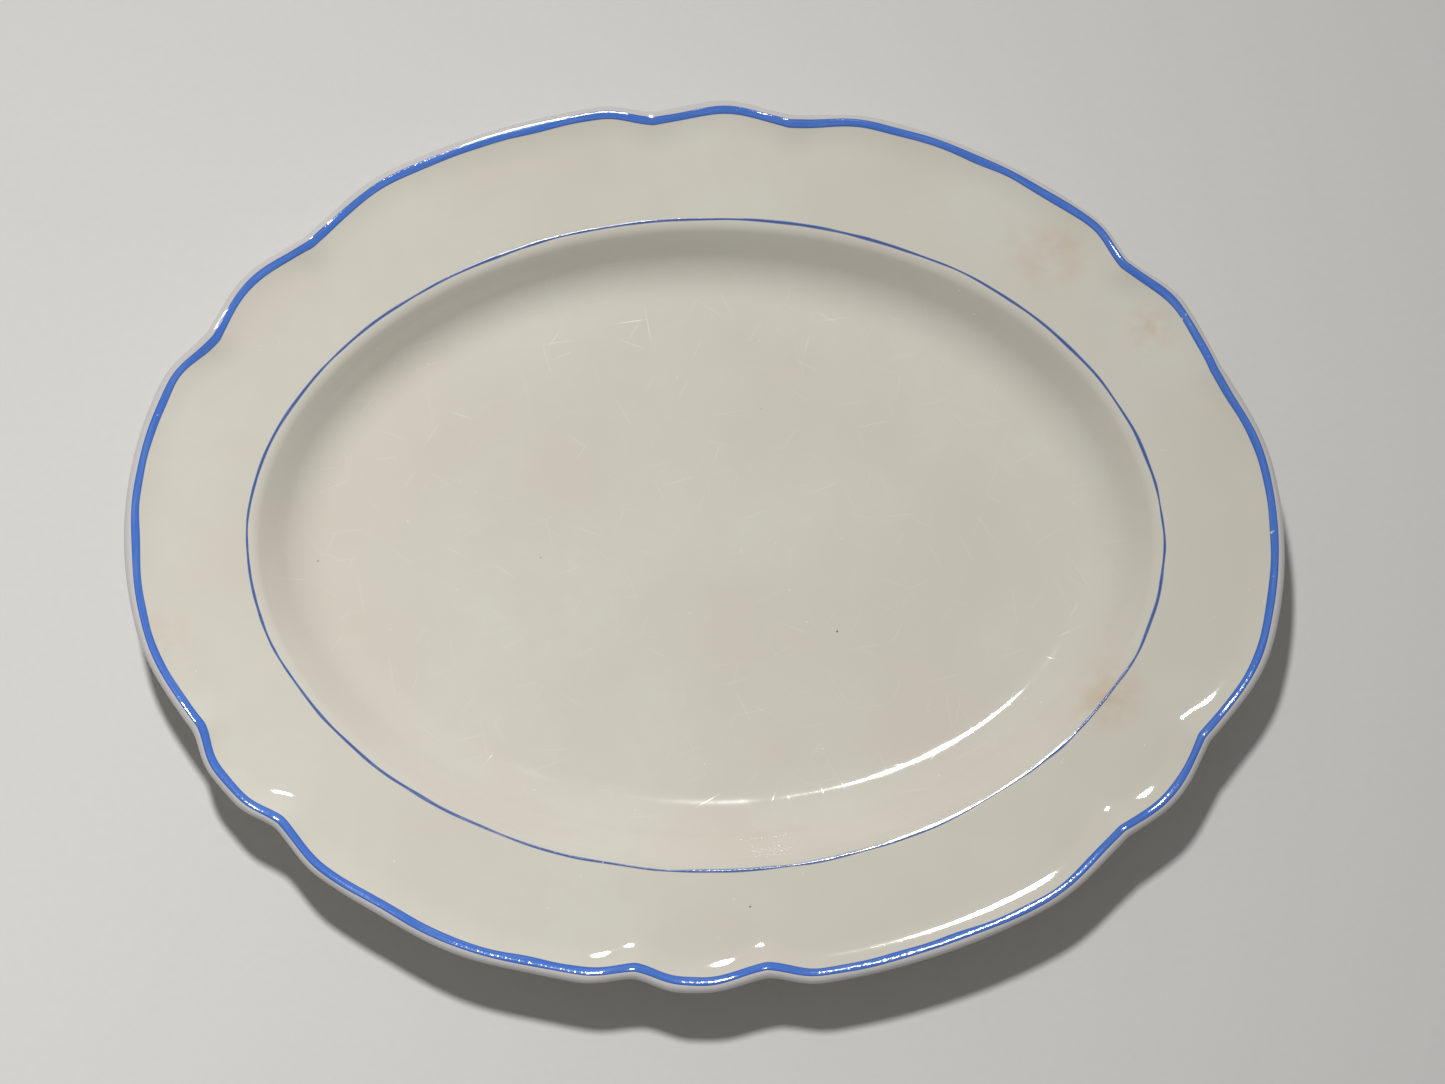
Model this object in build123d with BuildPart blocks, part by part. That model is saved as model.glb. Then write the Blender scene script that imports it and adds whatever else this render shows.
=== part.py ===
from build123d import *
import os
from math import cos, hypot, pi, radians, sin

# Oval china serving platter with a lobed edge and two painted lines.
# Millimetres, +Z up, +X along the platter. The origin is under the middle of the foot ring,
# on the surface that the platter stands on.

# overall sizes
platter_length = 343.0
platter_width = 268.0
marly_width = 35.6  # the flat rim, from the verge out to the crest of a lobe

# wall, from the well's floor out to the lip
well_depth = 14.0  # from the verge down to the floor
cavetto_radius = 19.0  # hollow curve from the floor into the well's side
cavetto_angle = 47.0  # steepest slope of the well's side
verge_radius = 6.0  # roll from the well's side on to the rim
marly_angle = 4.0  # slope of the rim
flare_radius = 30.0  # upward curve of the rim towards its edge
flare_angle = 20.0  # slope where the flare ends
shoulder_radius = 7.0  # roll from the flare on to the lip
shoulder_angle = 6.0  # slope where the half-round lip begins
base_thickness = 5.0
lip_thickness = 3.8

# foot ring
foot_height = 3.0
foot_width = 5.0
foot_outset = 2.0  # its outer side stands this far outside the floor's edge
foot_rounding = 1.2

# lobes of the edge: a small lobe at each side and on each diagonal, long ones between them
cusp_depth = 3.6  # how far a cusp cuts into the rim
side_lobe_width = 34.2  # between the two cusps of a small lobe
side_cusp_reach = 16.0  # how far a cusp's hollow runs along the edge, each way
diagonal_lobe_width = 29.6
diagonal_cusp_reach = 18.5
diagonal_lobe_angle = 32.3  # eccentric angle of the lobe's crest, from the long axis

# painted lines, fired on to the food side
paint_thickness = 0.25
rim_band_width = 2.1
rim_band_margin = 1.8  # bare edge outside the band
verge_line_width = 0.8

# straight steps between wall sections, and points around each section
points_around = 144
cavetto_steps = 7
side_steps = 1
roll_steps = 5
marly_steps = 4
flare_steps = 4
shoulder_steps = 2
lip_steps = 8

# the verge is a plain ellipse, and every other outline is measured square to it
verge_long = platter_length / 2 - marly_width
verge_short = platter_width / 2 - marly_width

floor_height = foot_height + base_thickness
verge_height = floor_height + well_depth

cavetto_turn = radians(cavetto_angle)
marly_turn = radians(marly_angle)
flare_turn = radians(flare_angle)
shoulder_turn = radians(shoulder_angle)
roll_drop = verge_radius * (cos(marly_turn) - cos(cavetto_turn))
side_drop = well_depth - roll_drop - cavetto_radius * (1 - cos(cavetto_turn))
side_length = side_drop / sin(cavetto_turn)
roll_reach = verge_radius * (sin(cavetto_turn) - sin(marly_turn))
well_reach = cavetto_radius * sin(cavetto_turn) + side_length * cos(cavetto_turn) + roll_reach
flare_reach = flare_radius * (sin(flare_turn) - sin(marly_turn))
shoulder_reach = shoulder_radius * (sin(flare_turn) - sin(shoulder_turn))
lip_reach = lip_thickness / 2 * (1 + sin(shoulder_turn))
marly_run = marly_width - flare_reach - shoulder_reach - lip_reach
cutter_height = verge_height + marly_width  # well above the lip


def small_lobes():
    # eccentric angle of each small lobe's crest, its width and how far its cusps reach
    diagonal = radians(diagonal_lobe_angle)
    lobes = [(side * pi / 2, side_lobe_width, side_cusp_reach) for side in (1, 3)]
    for crest in (diagonal, pi - diagonal, pi + diagonal, 2 * pi - diagonal):
        lobes.append((crest, diagonal_lobe_width, diagonal_cusp_reach))
    return lobes


def hollow(distance, reach):
    # a soft hollow: one at the cusp and nothing at its reach
    if abs(distance) >= reach:
        return 0.0
    return (1 + cos(pi * distance / reach)) / 2


def cusp_inset(angle):
    # how far the cusps pull the edge in at one eccentric angle
    inset = 0.0
    for crest, width, reach in small_lobes():
        turn = (angle - crest + pi) % (2 * pi) - pi
        along = turn * hypot(verge_long * sin(crest), verge_short * cos(crest))
        inset += cusp_depth * (hollow(along - width / 2, reach) + hollow(along + width / 2, reach))
    return inset


def lobed_share(distance):
    # the lobes grow from nothing at the verge to their full depth where the lip flares
    share = min(max(distance / marly_run, 0.0), 1.0)
    return share * share * (3 - 2 * share)


def outline(distance):
    # closed outline at one distance outside the verge, or inside it where negative.
    # Every outline has its knots at the same angles, so that a loft joins them point to point.
    points = []
    for step in range(points_around):
        angle = 2 * pi * step / points_around
        across = (verge_short * cos(angle), verge_long * sin(angle))
        length = hypot(*across)
        offset = distance - cusp_inset(angle) * lobed_share(distance)
        x = verge_long * cos(angle) + across[0] / length * offset
        y = verge_short * sin(angle) + across[1] / length * offset
        points.append((x, y))
    return Edge.make_spline(points, periodic=True, parameters=list(range(points_around + 1)))


# the food side of the wall: distance outside the verge, and height
with BuildLine() as food_side:
    cavetto = JernArc(
        start=(-well_reach, floor_height),
        tangent=(1, 0),
        radius=cavetto_radius,
        arc_size=cavetto_angle,
    )
    side = PolarLine(cavetto @ 1, side_length, cavetto_angle)
    verge_roll = JernArc(
        start=side @ 1,
        tangent=side % 1,
        radius=verge_radius,
        arc_size=marly_angle - cavetto_angle,
    )
    marly = PolarLine(verge_roll @ 1, marly_run / cos(marly_turn), marly_angle)
    flare = JernArc(
        start=marly @ 1,
        tangent=marly % 1,
        radius=flare_radius,
        arc_size=flare_angle - marly_angle,
    )
    shoulder = JernArc(
        start=flare @ 1,
        tangent=flare % 1,
        radius=shoulder_radius,
        arc_size=shoulder_angle - flare_angle,
    )


def wall_sections():
    # once round the wall: out over the food side, round the lip and back underneath
    outer = shoulder @ 1
    food = []
    under = []
    for line, steps in (
        (cavetto, cavetto_steps),
        (side, side_steps),
        (verge_roll, roll_steps),
        (marly, marly_steps),
        (flare, flare_steps),
        (shoulder, shoulder_steps),
    ):
        for step in range(steps):
            place = line @ (step / steps)
            along = line % (step / steps)
            share = (place.X + well_reach) / (outer.X + well_reach)
            thickness = base_thickness + (lip_thickness - base_thickness) * share
            food.append((place.X, place.Y))
            under.append((place.X + along.Y * thickness, place.Y - along.X * thickness))
    radius = lip_thickness / 2
    middle = (outer.X + radius * sin(shoulder_turn), outer.Y - radius * cos(shoulder_turn))
    lip = []
    for step in range(lip_steps + 1):
        turn = pi / 2 + shoulder_turn - pi * step / lip_steps
        lip.append((middle[0] + radius * cos(turn), middle[1] + radius * sin(turn)))
    return food + lip + under[::-1]


with BuildPart() as platter_body:
    for distance, height in wall_sections():
        with BuildSketch(Plane.XY.offset(height)):
            with BuildLine():
                add(outline(distance))
            make_face()
    loft(ruled=True)
    # foot ring, rooted half way into the base
    foot_edge = foot_outset - well_reach
    with BuildSketch():
        with BuildLine():
            add(outline(foot_edge))
        make_face()
        with BuildLine():
            add(outline(foot_edge - foot_width))
        make_face(mode=Mode.SUBTRACT)
    extrude(amount=foot_height + base_thickness / 2)
    fillet(platter_body.edges().group_by(Axis.Z)[0], radius=foot_rounding)


def painted_line(outer_distance, inner_distance):
    # a skin of paint on the food side, between two distances from the verge
    with BuildPart() as line:
        with BuildSketch():
            with BuildLine():
                add(outline(outer_distance))
            make_face()
            with BuildLine():
                add(outline(inner_distance))
            make_face(mode=Mode.SUBTRACT)
        extrude(amount=cutter_height)
        add(platter_body.part.moved(Location((0, 0, paint_thickness))), mode=Mode.INTERSECT)
        add(platter_body.part, mode=Mode.SUBTRACT)
    return line


band_edge = marly_width - rim_band_margin
rim_band = painted_line(band_edge, band_edge - rim_band_width)
verge_line = painted_line(verge_line_width / 2, -verge_line_width / 2)

os.makedirs("parts", exist_ok=True)
platter_body.part.label = "platter_body"
rim_band.part.label = "rim_band"
verge_line.part.label = "verge_line"
export_step(platter_body.part, "parts/platter_body.step")
export_step(rim_band.part, "parts/rim_band.step")
export_step(verge_line.part, "parts/verge_line.step")

for name, piece in (("platter_body", platter_body), ("rim_band", rim_band), ("verge_line", verge_line)):
    box = piece.part.bounding_box()
    print(name, "solids", len(piece.part.solids()), "volume", round(piece.part.volume, 1), "box", box)
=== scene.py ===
from math import cos, pi, radians, sin, sqrt

import bpy
import numpy as np
from mathutils import Matrix, Vector


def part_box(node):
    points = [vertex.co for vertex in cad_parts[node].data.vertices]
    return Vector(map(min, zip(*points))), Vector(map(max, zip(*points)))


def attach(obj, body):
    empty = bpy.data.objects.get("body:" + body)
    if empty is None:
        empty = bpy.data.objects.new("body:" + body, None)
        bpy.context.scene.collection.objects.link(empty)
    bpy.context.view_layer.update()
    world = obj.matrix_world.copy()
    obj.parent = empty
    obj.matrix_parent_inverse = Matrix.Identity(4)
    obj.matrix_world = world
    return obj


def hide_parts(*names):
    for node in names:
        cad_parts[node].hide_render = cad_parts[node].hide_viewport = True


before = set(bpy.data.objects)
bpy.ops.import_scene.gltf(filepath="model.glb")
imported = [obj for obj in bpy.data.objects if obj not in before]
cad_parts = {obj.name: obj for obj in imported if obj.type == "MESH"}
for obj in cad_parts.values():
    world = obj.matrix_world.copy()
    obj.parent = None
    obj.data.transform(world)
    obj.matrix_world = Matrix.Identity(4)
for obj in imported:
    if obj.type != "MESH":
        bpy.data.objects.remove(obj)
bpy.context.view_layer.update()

mm = 0.001
random = np.random.default_rng(34)  # fixed seed, so every run paints the same platter
print("frame loaded:", ", ".join(sorted(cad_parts)))

# Shape of the platter, in millimetres and degrees. Length and width come from the frame.
platter = {
    "marlyWidth": 35.6,  # the flat rim, from the verge out to the crest of a lobe
    "wellDepth": 14.0,
    "cavettoRadius": 19.0,  # hollow curve from the floor into the well's side
    "cavettoAngle": 47.0,
    "vergeRadius": 6.0,
    "marlyAngle": 4.0,
    "flareRadius": 30.0,
    "flareAngle": 20.0,
    "shoulderRadius": 7.0,
    "shoulderAngle": 6.0,
    "baseThickness": 5.0,
    "lipThickness": 3.8,
    "footHeight": 3.0,
    "footWidth": 5.0,
    "footOutset": 2.0,
    "footRounding": 1.2,
    "footFillet": 1.6,  # glaze pools in the corner beside the foot
    "baseHollow": 0.25,  # the base is hollowed a touch, so that it can't rock
    "floorSag": 0.35,  # the floor sinks a little in the kiln
    "floorRipple": 0.06,
    "rimWarp": 0.3,
    "wellDrift": (-0.7, 1.9),  # the floor sits a little off centre under the rim
    "columns": 600,
    "fineness": 2,  # rings in each curve of the wall
    "lipSteps": 16,
}

# Where the body's finish changes, in millimetres, each with how far the change takes
tone = {
    "lipWidth": 3.2,  # the lip's tone, thin glaze and painted shade, starts this far in from the edge
    "lipFade": 2.0,
    "underWidth": 4.0,  # the same on the underside
    "underFade": 3.0,
    "wellInset": 4.0,  # cutlery marks start this far inside the verge
    "wellFade": 10.0,
    "bareHeight": 0.75,  # the foot is wiped clean of glaze below this
    "bareFade": 0.35,
}

# The lobed edge. No two cusps are alike, because the edge was finished by hand. Each one has its
# eccentric angle, how deep it cuts, and how far its hollow reaches clockwise and counter-clockwise.
edge = {
    "cusps": (
        (22.5, 2.7, 27, 24),
        (39.3, 3.5, 18, 13),
        (81.2, 3.6, 25, 22),
        (96.1, 3.3, 24, 15),
        (138.0, 4.4, 27, 26),
        (153.9, 4.1, 23, 16),
        (204.9, 3.0, 27, 11),
        (220.0, 3.1, 12, 16),
        (263.2, 3.0, 15, 13),
        (277.3, 3.3, 18, 15),
        (320.1, 4.0, 26, 25),
        (334.7, 4.9, 23, 27),
    ),
    "usualDepth": 3.6,
    "sharpness": 1.3,
    "notchShare": 0.16,  # of each cusp's depth is a small pointed notch
    "notchReach": 2.6,
    "notchRounding": 0.3,
    "swellings": ((244.0, 1.3, 24, 24),),  # the opposite of a cusp
    # slow waves in the edge and in the verge: how many round the platter, height, first crest
    "waves": ((0, 0.3, 0), (1, 0.54, 133), (2, 0.6, -93), (3, 0.17, -173), (4, 0.62, -73)),
    "vergeWaves": ((1, 0.34, 44), (2, 0.23, 88), (3, 0.33, 131), (4, 0.44, -20), (6, 0.17, -31)),
    "ridgeHeight": 0.9,  # a soft ridge runs in from every cusp on the food side
    "ridgeSpread": 3.4,
    "ridgeLength": 13.0,
    "ridgeUnder": 0.6,  # how much of it shows on the underside
}

bodyLow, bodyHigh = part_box("platter_body")
vergeLong = (bodyHigh.x - bodyLow.x) / mm / 2 - platter["marlyWidth"]
vergeShort = (bodyHigh.y - bodyLow.y) / mm / 2 - platter["marlyWidth"]


def smoothShare(value):
    # nothing at 0 and below, everything at 1 and above, with a soft start and end
    share = np.clip(value, 0.0, 1.0)
    return share * share * (3 - 2 * share)


def wallRun(start, slopes, radius):
    # one curve of the wall from (distance, height): hollow for a positive radius
    distance = start[0] + radius * (np.sin(slopes) - sin(slopes[0]))
    height = start[1] + radius * (cos(slopes[0]) - np.cos(slopes))
    return np.stack([distance, height, slopes], axis=1)


def straightRun(start, slope, length, steps):
    # a straight stretch of the wall
    along = np.linspace(0, length, steps + 1)
    distance = start[0] + along * cos(slope)
    height = start[1] + along * sin(slope)
    return np.stack([distance, height, np.full(steps + 1, slope)], axis=1)


def foodSide(detail):
    # the side that food lies on, from the floor's edge to where the lip rounds over: rows of
    # distance outside the verge, height and slope
    cavetto = radians(platter["cavettoAngle"])
    marly = radians(platter["marlyAngle"])
    flare = radians(platter["flareAngle"])
    shoulder = radians(platter["shoulderAngle"])
    floorHeight = platter["footHeight"] + platter["baseThickness"]
    rollDrop = platter["vergeRadius"] * (cos(marly) - cos(cavetto))
    sideDrop = platter["wellDepth"] - rollDrop - platter["cavettoRadius"] * (1 - cos(cavetto))
    sideLength = sideDrop / sin(cavetto)
    curveReach = platter["cavettoRadius"] * sin(cavetto)
    rollReach = platter["vergeRadius"] * (sin(cavetto) - sin(marly))
    flareReach = platter["flareRadius"] * (sin(flare) - sin(marly))
    shoulderReach = platter["shoulderRadius"] * (sin(flare) - sin(shoulder))
    lipReach = platter["lipThickness"] / 2 * (1 + sin(shoulder))
    marlyRun = platter["marlyWidth"] - flareReach - shoulderReach - lipReach
    start = (-(curveReach + sideLength * cos(cavetto) + rollReach), floorHeight)
    rows = [wallRun(start, np.linspace(0, cavetto, 7 * detail), platter["cavettoRadius"])]
    rows.append(straightRun(rows[-1][-1], cavetto, sideLength, 2 * detail))
    rows.append(wallRun(rows[-1][-1], np.linspace(cavetto, marly, 5 * detail), -platter["vergeRadius"]))
    rows.append(straightRun(rows[-1][-1], marly, marlyRun / cos(marly), 6 * detail))
    rows.append(wallRun(rows[-1][-1], np.linspace(marly, flare, 5 * detail), platter["flareRadius"]))
    rows.append(wallRun(rows[-1][-1], np.linspace(flare, shoulder, 3 * detail), -platter["shoulderRadius"]))
    joined = [run[:-1] for run in rows[:-1]] + [rows[-1]]
    return np.concatenate(joined), marlyRun


foodRows, marlyRun = foodSide(platter["fineness"])
finestRows = foodSide(10 * platter["fineness"])[0]
wellReach = -foodRows[0][0]
floorHeight = foodRows[0][1]


def waves(turns, parts):
    # slow waves round the platter: how many, how high and at what angle the first one crests
    return sum(height * np.cos(count * turns - radians(crest)) for count, height, crest in parts)


def alongEdge(turns, angle):
    # distance along the edge from one angle
    centre = radians(angle)
    turned = (turns - centre + pi) % (2 * pi) - pi
    return turned * np.hypot(vergeLong * sin(centre), vergeShort * cos(centre))


def edgeShift(turns):
    # how far the edge stands outside its plain oval
    shift = waves(turns, edge["waves"])
    notch = edge["notchShare"]
    for angle, depth, before, after in edge["cusps"]:
        along = alongEdge(turns, angle)
        hollow = np.clip(along / np.where(along < 0, before, after), -1, 1)
        hollow = ((1 + np.cos(pi * hollow)) / 2) ** edge["sharpness"]
        point = np.exp(-np.sqrt(along ** 2 + edge["notchRounding"]) / edge["notchReach"])
        shift -= depth * ((1 - notch / 2) * hollow + notch * point)
    for angle, rise, before, after in edge["swellings"]:
        along = alongEdge(turns, angle)
        swell = np.clip(along / np.where(along < 0, before, after), -1, 1)
        shift += rise * (1 + np.cos(pi * swell)) / 2
    return shift


def edgeRelief(turns, distance):
    # soft moulded ridges that run in from the cusps and die out on the marly
    rise = np.zeros_like(turns)
    for angle, depth, before, after in edge["cusps"]:
        height = edge["ridgeHeight"] * depth / edge["usualDepth"]
        rise += height * np.exp(-((alongEdge(turns, angle) / edge["ridgeSpread"]) ** 2) / 2)
    fromEdge = platter["marlyWidth"] - distance
    return rise * smoothShare(1.1 - fromEdge / edge["ridgeLength"])  # full in the outermost tenth


def rimWarp(turns, distance):
    # the kiln warps the rim into a slight saddle, with a touch of a three-way warp, and leaves the
    # foot flat
    share = np.clip((distance + wellReach) / (platter["marlyWidth"] + wellReach), 0, 1) ** 2
    return platter["rimWarp"] * share * (np.cos(2 * turns - 0.9) + 0.4 * np.cos(3 * turns + 0.5))


def outline(turns, distance):
    # closed outline at a distance outside the verge's plain ellipse, measured square to it
    acrossX = vergeShort * np.cos(turns)
    acrossY = vergeLong * np.sin(turns)
    length = np.hypot(acrossX, acrossY)
    offset = distance + edgeShift(turns) * smoothShare(distance / marlyRun)
    byVerge = smoothShare(1 - distance / marlyRun) * smoothShare(1 + distance / wellReach)
    offset = offset + waves(turns, edge["vergeWaves"]) * byVerge
    drift = smoothShare(-distance / wellReach)
    x = vergeLong * np.cos(turns) + acrossX / length * offset + platter["wellDrift"][0] * drift
    y = vergeShort * np.sin(turns) + acrossY / length * offset + platter["wellDrift"][1] * drift
    return x, y


def foodPoints(turns, distance, lift):
    # points on the food side, lifted square to it
    height = np.interp(distance, finestRows[:, 0], finestRows[:, 1])
    slope = np.interp(distance, finestRows[:, 0], finestRows[:, 2])
    x, y = outline(turns, distance - np.sin(slope) * lift)
    z = height + edgeRelief(turns, distance) + rimWarp(turns, distance) + np.cos(slope) * lift
    return np.stack([x, y, z], axis=1)


def meshObject(name, rings, closeEnds, values):
    # rings of points joined into one smooth skin; its ends close on a middle point or on each other
    rings = np.asarray(rings)
    count, around = rings.shape[:2]
    points = rings.reshape(-1, 3) * mm
    index = np.arange(count * around).reshape(count, around)
    last = count if closeEnds == "together" else count - 1
    inner = index[:last]
    outer = np.roll(index, -1, axis=0)[:last]
    faces = np.stack([inner, outer, np.roll(outer, -1, axis=1), np.roll(inner, -1, axis=1)], axis=2)
    faces = faces.reshape(-1, 4).tolist()
    if closeEnds == "middle":
        top, bottom = len(points), len(points) + 1
        middles = [rings[0].mean(axis=0) * mm, rings[-1].mean(axis=0) * mm]
        points = np.concatenate([points, middles])
        for j in range(around):
            after = (j + 1) % around
            faces.append([top, int(index[0][j]), int(index[0][after])])
            faces.append([bottom, int(index[-1][after]), int(index[-1][j])])
    mesh = bpy.data.meshes.new(name)
    mesh.from_pydata(points.tolist(), [], faces)
    mesh.polygons.foreach_set("use_smooth", [True] * len(mesh.polygons))
    for key, data in values.items():
        data = np.asarray(data, dtype=np.float32).reshape(count * around, -1)
        data = np.concatenate([data, data[:1].repeat(len(points) - len(data), axis=0)])
        if closeEnds == "middle":
            data[-1] = data[count * around - 1]
        kind = "FLOAT_VECTOR" if data.shape[1] == 3 else "FLOAT"
        field = "vector" if kind == "FLOAT_VECTOR" else "value"
        mesh.attributes.new(key, kind, "POINT").data.foreach_set(field, data.ravel())
    mesh.update()
    piece = bpy.data.objects.new(name, mesh)
    bpy.context.scene.collection.objects.link(piece)
    return piece


def floorRings(turns):
    # the well's floor, from near its middle out to the foot of the cavetto
    edgeX, edgeY = outline(turns, -wellReach)
    rings = []
    for share in np.linspace(0.04, 1, 24, endpoint=False):
        x, y = edgeX * share, edgeY * share
        sag = platter["floorSag"] * (1 - share ** 2) ** 2
        # ripples 80 to 110 mm long
        ripple = np.sin(x / 17 + 0.6) * np.sin(y / 13 - 0.4) + 0.6 * np.sin(x / 29 - y / 21)
        ripple *= platter["floorRipple"] * (1 - share ** 4)
        rings.append(np.stack([x, y, floorHeight - sag + ripple], axis=1))
    return rings


def lipRows():
    # the half-round lip, from the end of the shoulder over to the underside
    radius = platter["lipThickness"] / 2
    shoulder = radians(platter["shoulderAngle"])
    outerDistance, outerHeight = foodRows[-1][:2]
    middle = (outerDistance + radius * sin(shoulder), outerHeight - radius * cos(shoulder))
    turn = pi / 2 + shoulder - pi * np.linspace(0, 1, platter["lipSteps"] + 1)[1:-1]
    return [(middle[0] + radius * cos(t), middle[1] + radius * sin(t)) for t in turn]


def undersideRows():
    # the underside, a wall's thickness below the food side, from the lip in towards the foot
    rows = []
    span = foodRows[-1][0] + wellReach
    for distance, height, slope in foodRows[::-2]:
        share = (distance + wellReach) / span
        thick = platter["baseThickness"] + (platter["lipThickness"] - platter["baseThickness"]) * share
        rows.append((distance + sin(slope) * thick, height - cos(slope) * thick))
    return rows


def footRows(wall):
    # the foot ring: down its outer side, across the face it stands on and up inside
    outer = platter["footOutset"] - wellReach
    inner = outer - platter["footWidth"]
    rounding, fillet = platter["footRounding"], platter["footFillet"]
    base = platter["footHeight"]
    quarter = np.linspace(0, pi / 2, 6)
    meets = np.interp(outer + fillet, [row[0] for row in wall[::-1]], [row[1] for row in wall[::-1]])
    rows = [row for row in wall if row[0] > outer + fillet]
    rows += [(outer + fillet * (1 - sin(t)), meets - fillet * (1 - cos(t))) for t in quarter]
    rows += [(outer - rounding * (1 - cos(t)), rounding * (1 - sin(t))) for t in quarter]
    rows += [(inner + rounding * (1 - sin(t)), rounding * (1 - cos(t))) for t in quarter]
    rows += [(inner - fillet * (1 - cos(t)), base - fillet * (1 - sin(t))) for t in quarter]
    return rows


def makeBody():
    turns = np.arange(platter["columns"]) * 2 * pi / platter["columns"]
    # each row is a ring of points and how much of it is lip, bare foot and well
    rows = [(ring, 0.0, 0.0, 1.0) for ring in floorRings(turns)]
    for distance in foodRows[:, 0]:
        ring = foodPoints(turns, np.full_like(turns, distance), 0.0)
        fromEdge = platter["marlyWidth"] - distance
        lip = smoothShare((tone["lipWidth"] - fromEdge) / tone["lipFade"])
        rows.append((ring, lip, 0.0, smoothShare((-distance - tone["wellInset"]) / tone["wellFade"])))
    lipEnd = foodRows[-1][0]
    lipLine = lipRows()
    for step, (distance, height) in enumerate(lipLine):
        x, y = outline(turns, np.full_like(turns, distance))
        relief = edgeRelief(turns, lipEnd) * (1 - (1 - edge["ridgeUnder"]) * step / len(lipLine))
        rows.append((np.stack([x, y, height + relief + rimWarp(turns, lipEnd)], axis=1), 1.0, 0.0, 0.0))
    for distance, height in footRows(undersideRows()):
        x, y = outline(turns, np.full_like(turns, distance))
        relief = edgeRelief(turns, distance) * edge["ridgeUnder"]
        ring = np.stack([x, y, height + relief + rimWarp(turns, distance)], axis=1)
        fromEdge = platter["marlyWidth"] - distance
        lip = smoothShare((tone["underWidth"] - fromEdge) / tone["underFade"])
        rows.append((ring, lip, smoothShare((tone["bareHeight"] - height) / tone["bareFade"]), 0.0))
    recess = rows[-1][0]
    for share in np.linspace(1, 0.05, 9)[1:]:
        inset = recess * np.array([share, share, 1.0])
        inset[:, 2] += platter["baseHollow"] * (1 - share ** 2)
        rows.append((inset, 0.0, 0.0, 0.0))
    rings, lip, foot, well = zip(*rows)
    around = np.ones(platter["columns"])
    values = {"lip": np.outer(lip, around), "foot": np.outer(foot, around), "well": np.outer(well, around)}
    print("body rings", len(rings), "columns", platter["columns"])
    return meshObject("glazed_body", rings, "middle", values)


# The painted lines, in millimetres. The waves and the wander are an unsteady hand and wheel.
rimBand = {
    "margin": 1.85,  # bare lip outside the band
    "width": 2.4,
    "marginWaves": ((1, 0.20, -166), (2, 0.18, -90), (3, 0.05, 74), (4, 0.21, -10)),
    "widthWaves": ((1, 0.07, -99), (2, 0.10, 111), (3, 0.04, 32)),
    "marginWander": 0.12,
    "widthWander": 0.1,
    "leastMargin": 0.6,
    "thickness": 0.09,
    "columns": 1440,
}
vergeLine = {
    "width": 0.85,
    "place": -0.35,  # the brush rode on the crown of the verge
    "placeWander": 0.12,
    "widthWander": 0.14,
    "thickness": 0.07,
    "columns": 1200,
}


def handWander(turns, amount, longest, shortest):
    # an unsteady hand: waves of random height and phase, weaker where they are shorter. Longest and
    # shortest are how many such waves go round the platter.
    total = np.zeros_like(turns)
    for count in range(longest, shortest):
        phase = random.uniform(0, 2 * pi)
        total += random.normal() / sqrt(count) * np.cos(count * turns + phase)
    return total * amount / total.std()


def paintedLine(name, turns, middle, width, thickness):
    # a brushed line: fullest in the middle, thin at its edges, its underside sunk in the glaze
    edgeShare, sunk = 0.3, -0.2
    rings, across = [], []
    for share in np.linspace(-1, 1, 11):
        lift = thickness * (edgeShare + (1 - edgeShare) * (1 - share ** 2) ** 0.6)
        rings.append(foodPoints(turns, middle + share * width / 2, lift))
        across.append(share)
    for share in (1.0, 0.5, -0.5, -1.0):
        rings.append(foodPoints(turns, middle + share * width / 2, sunk))
        across.append(share)
    across = np.outer(across, np.ones_like(turns))
    reach = vergeLong + platter["marlyWidth"]
    # where a point is in the stroke, stretched across it so that noise turns into bristle marks
    stretch = 40
    stroke = np.stack([
        reach * np.cos(turns) + 0 * across,
        reach * np.sin(turns) + 0 * across,
        across * width / 2 * stretch,
    ], axis=2)
    return meshObject(name, rings, "together", {"across": across, "stroke": stroke})


def makeRimBand():
    turns = np.arange(rimBand["columns"]) * 2 * pi / rimBand["columns"]
    width = rimBand["width"] + waves(turns, rimBand["widthWaves"])
    width += handWander(turns, rimBand["widthWander"], 6, 70)
    margin = rimBand["margin"] + waves(turns, rimBand["marginWaves"])
    margin += handWander(turns, rimBand["marginWander"], 6, 50)
    margin = np.maximum(margin, rimBand["leastMargin"])
    middle = platter["marlyWidth"] - margin - width / 2
    return paintedLine("blue_rim_band", turns, middle, width, rimBand["thickness"])


def makeVergeLine():
    turns = np.arange(vergeLine["columns"]) * 2 * pi / vergeLine["columns"]
    width = vergeLine["width"] + handWander(turns, vergeLine["widthWander"], 5, 80)
    middle = vergeLine["place"] + handWander(turns, vergeLine["placeWander"], 5, 40)
    return paintedLine("blue_verge_line", turns, middle, width, vergeLine["thickness"])


def linearColour(code):
    # sRGB hex to the linear values that a shader works in
    parts = [int(code[i:i + 2], 16) / 255 for i in (1, 3, 5)]
    return [c / 12.92 if c <= 0.04045 else ((c + 0.055) / 1.055) ** 2.4 for c in parts] + [1.0]


def addNode(tree, kind, settings):
    # adds a node. A setting is a property of the node, the value of one of its inputs, or what feeds
    # that input: a socket, or a node for the first of its outputs in use.
    node = tree.nodes.new("ShaderNode" + kind)
    for key, value in settings.items():
        if isinstance(key, str) and hasattr(node, key):
            setattr(node, key, value)
            continue
        if isinstance(value, bpy.types.Node):
            value = next(socket for socket in value.outputs if socket.enabled)
        if isinstance(value, bpy.types.NodeSocket):
            tree.links.new(value, node.inputs[key])
        else:
            node.inputs[key].default_value = linearColour(value) if isinstance(value, str) else value
    return node


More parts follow.
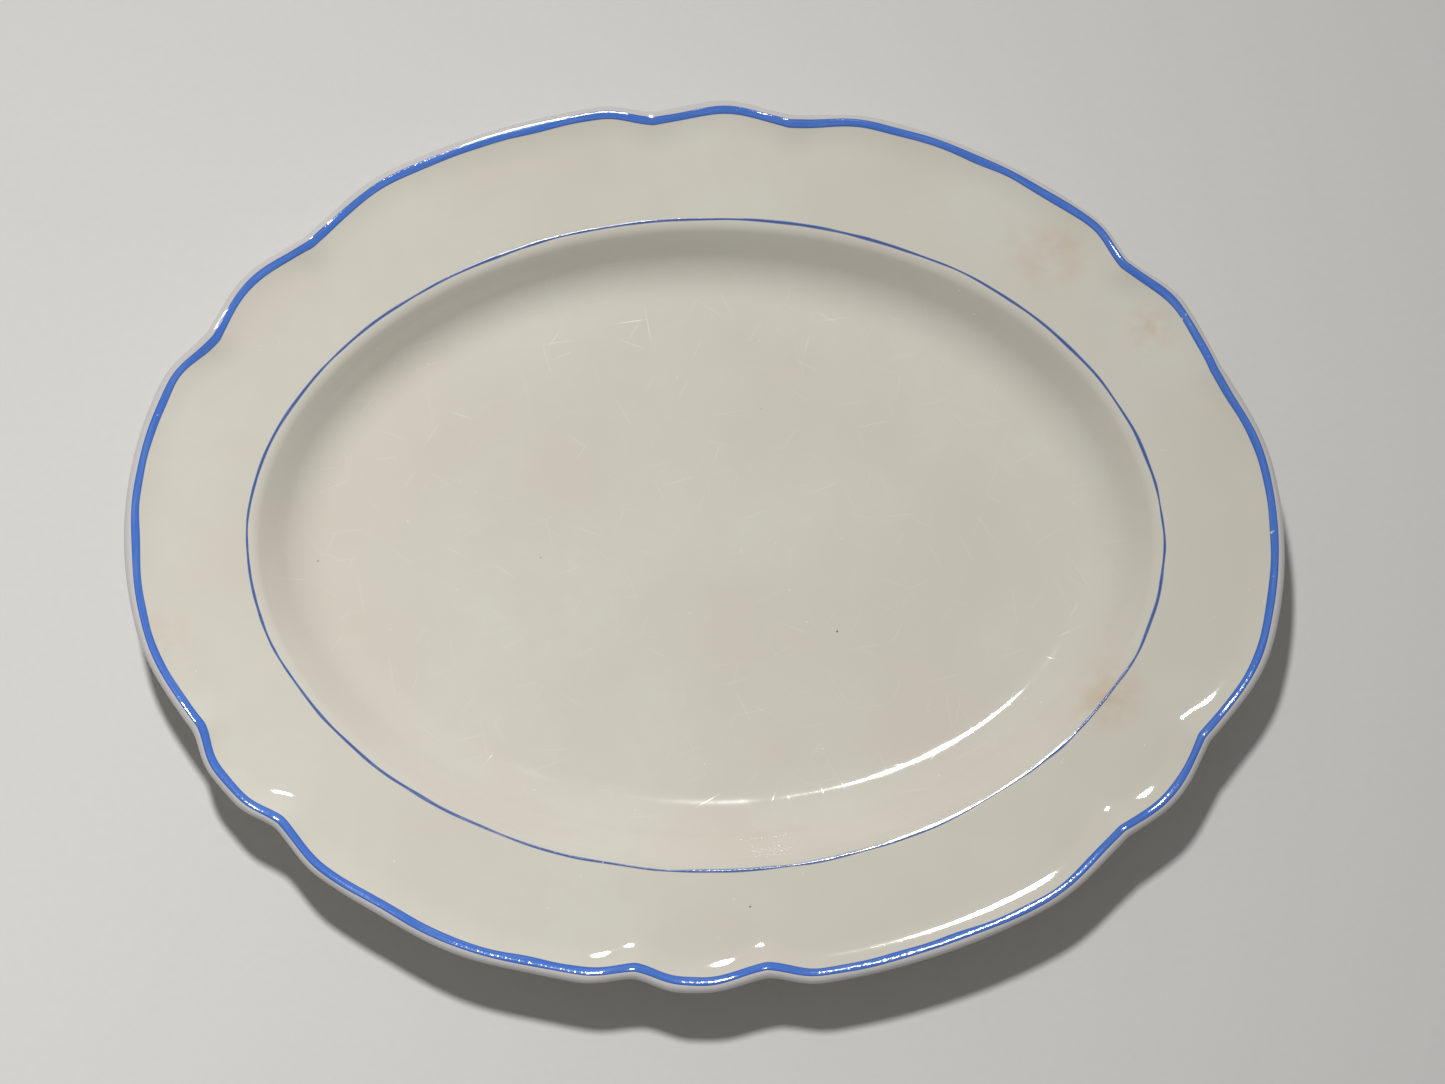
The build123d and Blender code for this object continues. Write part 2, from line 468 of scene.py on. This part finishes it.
def newMaterial(name):
    # an empty material, and where a point of the platter is, in millimetres
    material = bpy.data.materials.new(name)
    material.use_nodes = True
    tree = material.node_tree
    tree.nodes.clear()
    metres = addNode(tree, "TexCoord", {}).outputs["Object"]
    place = addNode(tree, "VectorMath", {"operation": "SCALE", 0: metres, "Scale": 1 / mm})
    return material, tree, place


# Clear-glazed cream earthenware: a warm off-white clay seen through a hard, wet-looking glaze
# that gives small crisp reflections, faint clouds of tone, iron specks, old tea-brown bruises
# and fine cutlery marks in the well. The marks and the pinholes are painted pale as glints, and
# the lip is painted in a darker tone: thin glaze and painted shade.
glazedEarthenware = {
    "body": "#e7e3d6",
    "cloud": "#e3ddcf",
    "cloudSize": 48.0,
    "mottleSize": 5.0,
    "mottleShare": 0.35,
    "lipThinGlazeAndShade": "#d2d0d2",  # the glaze runs thin over the lip and cools the tone there; the tone is also darkened as painted shade on the lip's rounding
    "lipThinGlazeAndShadeShare": 0.75,
    "bruise": "#d3a877",
    "bruises": (  # x, y, radius, strength
        (102, 88, 17, 0.35),
        (133, 65, 11, 0.4),
        (119, -45, 15, 0.45),
        (-162, -31, 14, 0.3),
        (-60, 4, 9, 0.15),
    ),
    "bruiseHeight": 22.0,
    "dots": (  # colour, spacing, size, share of the cells that have one, strength
        ("#5f4c3c", 13.0, 0.42, 0.26, 1.0),  # iron specks in the clay
        ("#fbf9f2", 5.0, 0.34, 0.24, 0.8),  # painted glints: bright specks at pinholes
    ),
    # the cutlery marks are painted pale: partly the marks, partly painted glints along them
    "scratchGlintColour": "#f4f1e8",
    "scratchGlintStrength": 0.5,
    "scratchDepth": 0.003,
    # direction in degrees, length, spacing across and width; three times the real width, to show
    "scratches": (
        (18.0, 20.0, 9.0, 0.15),
        (67.0, 14.0, 11.0, 0.14),
        (112.0, 24.0, 10.0, 0.13),
        (154.0, 17.0, 14.0, 0.15),
    ),
    "bareClay": "#d6c8b0",
    "ior": 1.5,
    "gloss": 0.035,
    "wornGloss": 0.085,
    "wornSize": 22.0,
    "bareGloss": 0.72,  # added where the clay is bare
    "peelSize": 8.0,  # orange peel of the fired glaze
    "peelDepth": 0.02,
    "grainSize": 0.8,  # pinprick pits, drawn coarser than they are so that they show
    "grainDepth": 0.001,
}


def makeGlazedEarthenware():
    look = glazedEarthenware
    material, tree, place = newMaterial("clear_glazed_cream_earthenware")
    lip = addNode(tree, "Attribute", {"attribute_name": "lip"}).outputs["Fac"]
    foot = addNode(tree, "Attribute", {"attribute_name": "foot"}).outputs["Fac"]
    well = addNode(tree, "Attribute", {"attribute_name": "well"}).outputs["Fac"]

    cloud = addNode(tree, "TexNoise", {"Vector": place, "Scale": 1 / look["cloudSize"], "Detail": 3.0})
    cloud = addNode(tree, "MapRange", {"Value": cloud, "From Min": 0.36, "From Max": 0.64})
    colour = addNode(tree, "Mix", {"data_type": "RGBA", 0: cloud, 6: look["body"], 7: look["cloud"]})
    mottle = addNode(tree, "TexNoise", {"Vector": place, "Scale": 1 / look["mottleSize"], "Detail": 4.0})
    mottle = addNode(tree, "MapRange", {
        "Value": mottle,
        "From Min": 0.35,
        "From Max": 0.75,
        "To Max": look["mottleShare"],
    })
    colour = addNode(tree, "Mix", {"data_type": "RGBA", 0: mottle, 6: colour, 7: look["cloud"]})

    # brown bruises where the glaze has crazed and taken in stain
    for x, y, radius, strength in look["bruises"]:
        middle = (x, y, look["bruiseHeight"])
        away = addNode(tree, "VectorMath", {"operation": "DISTANCE", 0: place, 1: middle})
        fade = addNode(tree, "MapRange", {
            "interpolation_type": "SMOOTHSTEP",
            "Value": away,
            "From Min": 0.0,
            "From Max": radius,
            "To Min": strength,
            "To Max": 0.0,
        })
        patch = addNode(tree, "TexNoise", {"Vector": place, "Scale": 2.5 / radius, "Detail": 5.0})
        patch = addNode(tree, "MapRange", {"Value": patch, "From Min": 0.35, "From Max": 0.7})
        share = addNode(tree, "Math", {"operation": "MULTIPLY", 0: fade, 1: patch})
        colour = addNode(tree, "Mix", {"data_type": "RGBA", 0: share, 6: colour, 7: look["bruise"]})

    # dots, one in some of the cells: iron specks, and painted glints at pinholes
    for dotColour, spacing, size, amount, strength in look["dots"]:
        cells = addNode(tree, "TexVoronoi", {"Vector": place, "Scale": 1 / spacing})
        chosen = addNode(tree, "SeparateColor", {0: cells.outputs["Color"]})
        chosen = addNode(tree, "MapRange", {
            "Value": chosen,
            "From Min": amount,
            "From Max": amount * 0.5,
            "To Max": strength,
        })
        dot = addNode(tree, "MapRange", {
            "Value": cells.outputs["Distance"],
            "From Min": size / spacing,
            "From Max": size / spacing * 0.5,
        })
        share = addNode(tree, "Math", {"operation": "MULTIPLY", 0: dot, 1: chosen})
        colour = addNode(tree, "Mix", {"data_type": "RGBA", 0: share, 6: colour, 7: dotColour})

    # straight fine cutlery marks: one in some of the long narrow cells, each a little askew
    marks = 0.0
    for direction, length, spacing, width in look["scratches"]:
        turned = addNode(tree, "Mapping", {
            "vector_type": "TEXTURE",
            "Vector": place,
            "Rotation": (0, 0, radians(direction)),
            "Scale": (length, spacing, 1.0),
        })
        cells = addNode(tree, "TexVoronoi", {"voronoi_dimensions": "2D", "Vector": turned, "Scale": 1.0})
        local = addNode(tree, "VectorMath", {
            "operation": "SUBTRACT",
            0: turned,
            1: cells.outputs["Position"],
        })
        local = addNode(tree, "SeparateXYZ", {0: local})
        chance = addNode(tree, "SeparateColor", {0: cells.outputs["Color"]})
        askew = addNode(tree, "Math", {
            "operation": "MULTIPLY_ADD",
            0: chance.outputs[1],
            1: length / spacing * 0.5,
            2: length / spacing * -0.25,
        })
        askew = addNode(tree, "Math", {"operation": "MULTIPLY", 0: askew, 1: local.outputs[0]})
        aside = addNode(tree, "Math", {"operation": "SUBTRACT", 0: local.outputs[1], 1: askew})
        aside = addNode(tree, "Math", {"operation": "ABSOLUTE", 0: aside})
        line = addNode(tree, "MapRange", {
            "Value": aside,
            "From Min": width / spacing,
            "From Max": width / spacing * 0.4,
        })
        ends = addNode(tree, "Math", {"operation": "ABSOLUTE", 0: local.outputs[0]})
        ends = addNode(tree, "MapRange", {"Value": ends, "From Min": 0.3, "From Max": 0.12})
        chosen = addNode(tree, "MapRange", {"Value": chance.outputs[0], "From Min": 0.3, "From Max": 1.0})
        line = addNode(tree, "Math", {"operation": "MULTIPLY", 0: line, 1: ends})
        line = addNode(tree, "Math", {"operation": "MULTIPLY", 0: line, 1: chosen})
        marks = addNode(tree, "Math", {"operation": "MAXIMUM", 0: line, 1: marks})
    marks = addNode(tree, "Math", {"operation": "MULTIPLY", 0: marks, 1: well})
    # cutlery marks painted pale in the well, partly as painted glints
    share = addNode(tree, "Math", {"operation": "MULTIPLY", 0: marks, 1: look["scratchGlintStrength"]})
    colour = addNode(tree, "Mix", {"data_type": "RGBA", 0: share, 6: colour, 7: look["scratchGlintColour"]})

    # the lip painted a darker, cooler tone: thin glaze, and painted shade on its rounding
    share = addNode(tree, "Math", {"operation": "MULTIPLY", 0: lip, 1: look["lipThinGlazeAndShadeShare"]})
    colour = addNode(tree, "Mix", {"data_type": "RGBA", 0: share, 6: colour, 7: look["lipThinGlazeAndShade"]})
    colour = addNode(tree, "Mix", {"data_type": "RGBA", 0: foot, 6: colour, 7: look["bareClay"]})

    # the floor is worn duller in patches, and the face of the foot has no glaze
    worn = addNode(tree, "TexNoise", {"Vector": place, "Scale": 1 / look["wornSize"], "Detail": 3.0})
    worn = addNode(tree, "MapRange", {"Value": worn, "From Min": 0.4, "From Max": 0.65})
    worn = addNode(tree, "Math", {"operation": "MULTIPLY", 0: worn, 1: well})
    rough = addNode(tree, "Math", {
        "operation": "MULTIPLY_ADD",
        0: worn,
        1: look["wornGloss"] - look["gloss"],
        2: look["gloss"],
    })
    rough = addNode(tree, "Math", {"operation": "MULTIPLY_ADD", 0: marks, 1: 0.12, 2: rough})
    rough = addNode(tree, "Math", {"operation": "MULTIPLY_ADD", 0: foot, 1: look["bareGloss"], 2: rough})

    peel = addNode(tree, "TexNoise", {"Vector": place, "Scale": 1 / look["peelSize"], "Detail": 1.5})
    peel = addNode(tree, "Bump", {"Distance": look["peelDepth"] * mm, "Height": peel})
    grain = addNode(tree, "TexNoise", {"Vector": place, "Scale": 1 / look["grainSize"], "Detail": 2.0})
    grain = addNode(tree, "Bump", {"Distance": look["grainDepth"] * mm, "Height": grain, "Normal": peel})
    cut = addNode(tree, "Bump", {
        "invert": True,
        "Distance": look["scratchDepth"] * mm,
        "Height": marks,
        "Normal": grain,
    })
    shader = addNode(tree, "BsdfPrincipled", {
        "Base Color": colour,
        "Roughness": rough,
        "IOR": look["ior"],
        "Normal": cut,
    })
    addNode(tree, "OutputMaterial", {"Surface": shader})
    return material


# Hand-banded blue enamel: a ceramic colour brushed on while the platter turned and fired into the
# glaze. Streaks run with the stroke, the colour gathers at the edges, and the gloss breaks into dots.
bandEnamel = {
    "full": "#4d7edd",
    "thin": "#7096df",
    "edge": "#3357ad",  # gathered colour
    "edgeFrom": 0.55,
    "edgeShare": 0.7,
    "halo": "#a9bde2",  # colour run into the glaze inside the band
    "haloFrom": 0.86,
    "streakLength": 16.0,  # bristle marks
    "streakShare": 0.8,
    "gloss": 0.05,
    "dullGloss": 0.17,
    "strokeDepth": 0.012,
    "dotSize": 1.1,  # the unevenness that breaks up a reflection
    "dotDepth": 0.045,
    "ior": 1.52,
    "chips": 0.26,  # lower noise than this shows the glaze through the colour
    "chipSize": 2.2,
    "worn": (140.0, 68.5, 27.0),  # where a knock has taken some of the colour off
    "wornReach": 6.0,
    "wornShare": 0.25,
}

# The same enamel in a thin line from the tip of a liner brush: greyer, and pale where it bleeds out
# at both sides.
lineEnamel = {
    "full": "#4a62a2",
    "thin": "#6b82b8",
    "edge": "#97abd3",  # the line bleeds pale
    "edgeFrom": 0.4,
    "edgeShare": 0.85,
    "halo": "#b4c2de",
    "haloFrom": 0.8,
    "streakLength": 9.0,
    "streakShare": 0.8,
    "gloss": 0.06,
    "dullGloss": 0.18,
    "strokeDepth": 0.005,
    "dotSize": 0.9,
    "dotDepth": 0.02,
    "ior": 1.52,
    "chips": 0.27,
    "chipSize": 2.2,
    "worn": (117.0, -46.0, 22.0),
    "wornReach": 8.0,
    "wornShare": 0.05,
}


def makeBrushedEnamel(name, look):
    material, tree, place = newMaterial(name)
    across = addNode(tree, "Attribute", {"attribute_name": "across"}).outputs["Fac"]
    stroke = addNode(tree, "Attribute", {"attribute_name": "stroke"}).outputs["Vector"]
    streak = addNode(tree, "TexNoise", {
        "Vector": stroke,
        "Scale": 1 / look["streakLength"],
        "Detail": 4.0,
        "Roughness": 0.6,
    })
    thin = addNode(tree, "MapRange", {
        "Value": streak,
        "From Min": 0.45,
        "From Max": 0.72,
        "To Max": look["streakShare"],
    })
    colour = addNode(tree, "Mix", {"data_type": "RGBA", 0: thin, 6: look["full"], 7: look["thin"]})
    aside = addNode(tree, "Math", {"operation": "ABSOLUTE", 0: across})
    share = addNode(tree, "MapRange", {
        "interpolation_type": "SMOOTHSTEP",
        "Value": aside,
        "From Min": look["edgeFrom"],
        "From Max": 0.95,
        "To Max": look["edgeShare"],
    })
    colour = addNode(tree, "Mix", {"data_type": "RGBA", 0: share, 6: colour, 7: look["edge"]})
    share = addNode(tree, "MapRange", {
        "Value": across,
        "From Min": -look["haloFrom"],
        "From Max": -1.0,
        "To Max": 0.8,
    })
    colour = addNode(tree, "Mix", {"data_type": "RGBA", 0: share, 6: colour, 7: look["halo"]})
    chip = addNode(tree, "TexNoise", {"Vector": place, "Scale": 1 / look["chipSize"], "Detail": 3.0})
    away = addNode(tree, "VectorMath", {"operation": "DISTANCE", 0: place, 1: look["worn"]})
    knock = addNode(tree, "MapRange", {"Value": away, "From Min": look["wornReach"], "From Max": 0.0})
    chip = addNode(tree, "Math", {"operation": "MULTIPLY_ADD", 0: knock, 1: -look["wornShare"], 2: chip})
    chip = addNode(tree, "MapRange", {
        "Value": chip,
        "From Min": look["chips"] + 0.01,
        "From Max": look["chips"] - 0.02,
    })
    colour = addNode(tree, "Mix", {"data_type": "RGBA", 0: chip, 6: colour, 7: glazedEarthenware["body"]})
    rough = addNode(tree, "MapRange", {
        "Value": streak,
        "From Min": 0.35,
        "From Max": 0.7,
        "To Min": look["gloss"],
        "To Max": look["dullGloss"],
    })
    brush = addNode(tree, "Bump", {"Distance": look["strokeDepth"] * mm, "Height": streak})
    dots = addNode(tree, "TexNoise", {"Vector": place, "Scale": 1 / look["dotSize"], "Detail": 1.0})
    dots = addNode(tree, "Bump", {"Distance": look["dotDepth"] * mm, "Height": dots, "Normal": brush})
    shader = addNode(tree, "BsdfPrincipled", {
        "Base Color": colour,
        "Roughness": rough,
        "IOR": look["ior"],
        "Normal": dots,
    })
    addNode(tree, "OutputMaterial", {"Surface": shader})
    return material


# Plain pale paper, matt and almost even
paperSweep = {"low": "#e2e1dd", "high": "#e6e5e2", "fibreSize": 2.5, "roughness": 0.9, "half": 3.0}


def makeFloor():
    material, tree, place = newMaterial("pale_matt_paper")
    look = paperSweep
    fibre = addNode(tree, "TexNoise", {"Vector": place, "Scale": 1 / look["fibreSize"], "Detail": 3.0})
    colour = addNode(tree, "Mix", {"data_type": "RGBA", 0: fibre, 6: look["low"], 7: look["high"]})
    shader = addNode(tree, "BsdfPrincipled", {"Base Color": colour, "Roughness": look["roughness"]})
    addNode(tree, "OutputMaterial", {"Surface": shader})
    half = look["half"]
    corners = [(-half, -half, 0), (half, -half, 0), (half, half, 0), (-half, half, 0)]
    mesh = bpy.data.meshes.new("studio_floor")
    mesh.from_pydata(corners, [], [(0, 1, 2, 3)])
    mesh.materials.append(material)
    floor = bpy.data.objects.new("studio_floor", mesh)
    bpy.context.scene.collection.objects.link(floor)


# Studio: one soft lamp high behind the platter, and even light all round. Places are in metres from
# the middle of the platter.
studio = {
    "lampPlace": (-0.20, 0.74, 1.70),
    "lampAim": (-0.25, -0.20, 0.0),
    "lampSize": 0.17,
    "lampSpread": 72.0,  # a honeycomb grid: the light weakens away from its aim
    "lampPower": 3.9,
    "roundStrength": 0.17,  # the even light
    "roundColour": "#ffffff",
}


def makeStudio():
    light = bpy.data.lights.new("soft_lamp", "AREA")
    light.shape = "DISK"
    light.size = studio["lampSize"]
    light.spread = radians(studio["lampSpread"])
    light.energy = studio["lampPower"]
    lamp = bpy.data.objects.new("soft_lamp", light)
    lamp.location = studio["lampPlace"]
    beam = Vector(studio["lampAim"]) - Vector(studio["lampPlace"])
    lamp.rotation_euler = beam.to_track_quat("-Z", "Y").to_euler()
    bpy.context.scene.collection.objects.link(lamp)
    world = bpy.data.worlds.new("even_light")
    world.use_nodes = True
    background = world.node_tree.nodes["Background"]
    background.inputs["Color"].default_value = linearColour(studio["roundColour"])
    background.inputs["Strength"].default_value = studio["roundStrength"]
    bpy.context.scene.world = world
    bpy.context.scene.view_settings.view_transform = "Standard"


# The camera looks almost straight down on the food side, in degrees, metres and millimetres of lens
cameraView = {
    "lean": 10.0,
    "turn": 1.28,
    "roll": 0.47,
    "aim": (0.0054, -0.0006),
    "distance": 1.306,
    "lens": 109.8,
    "aimRise": 1.3,  # millimetres above the verge
}


def makeCamera():
    data = bpy.data.cameras.new("view")
    data.lens = cameraView["lens"]
    data.sensor_width = 36.0
    camera = bpy.data.objects.new("view", data)
    turned = Matrix.Rotation(radians(cameraView["lean"]), 4, "X")
    turned = turned @ Matrix.Rotation(radians(cameraView["turn"]), 4, "Y")
    turned = turned @ Matrix.Rotation(radians(cameraView["roll"]), 4, "Z")
    aimHeight = floorHeight + platter["wellDepth"] + cameraView["aimRise"]
    aim = Vector((*cameraView["aim"], aimHeight * mm))
    back = turned.to_3x3() @ Vector((0, 0, 1))
    camera.matrix_world = Matrix.Translation(aim + back * cameraView["distance"]) @ turned
    bpy.context.scene.collection.objects.link(camera)
    bpy.context.scene.camera = camera


makeCamera()
makeFloor()
makeStudio()
print("camera, floor and lights made")

pieces = (
    (makeBody, "platter_body", "glazed_china", makeGlazedEarthenware, ()),
    (makeRimBand, "rim_band", "blue_enamel", makeBrushedEnamel, ("brushed_blue_band_enamel", bandEnamel)),
    (makeVergeLine, "verge_line", "blue_enamel", makeBrushedEnamel, ("brushed_blue_line_enamel", lineEnamel)),
)
for makePiece, node, slotName, makeMaterial, options in pieces:
    piece = makePiece()
    piece.data.materials.append(makeMaterial(*options))
    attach(piece, "root")
    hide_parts(node)
    print(piece.name, "made, triangles", 2 * len(piece.data.polygons))
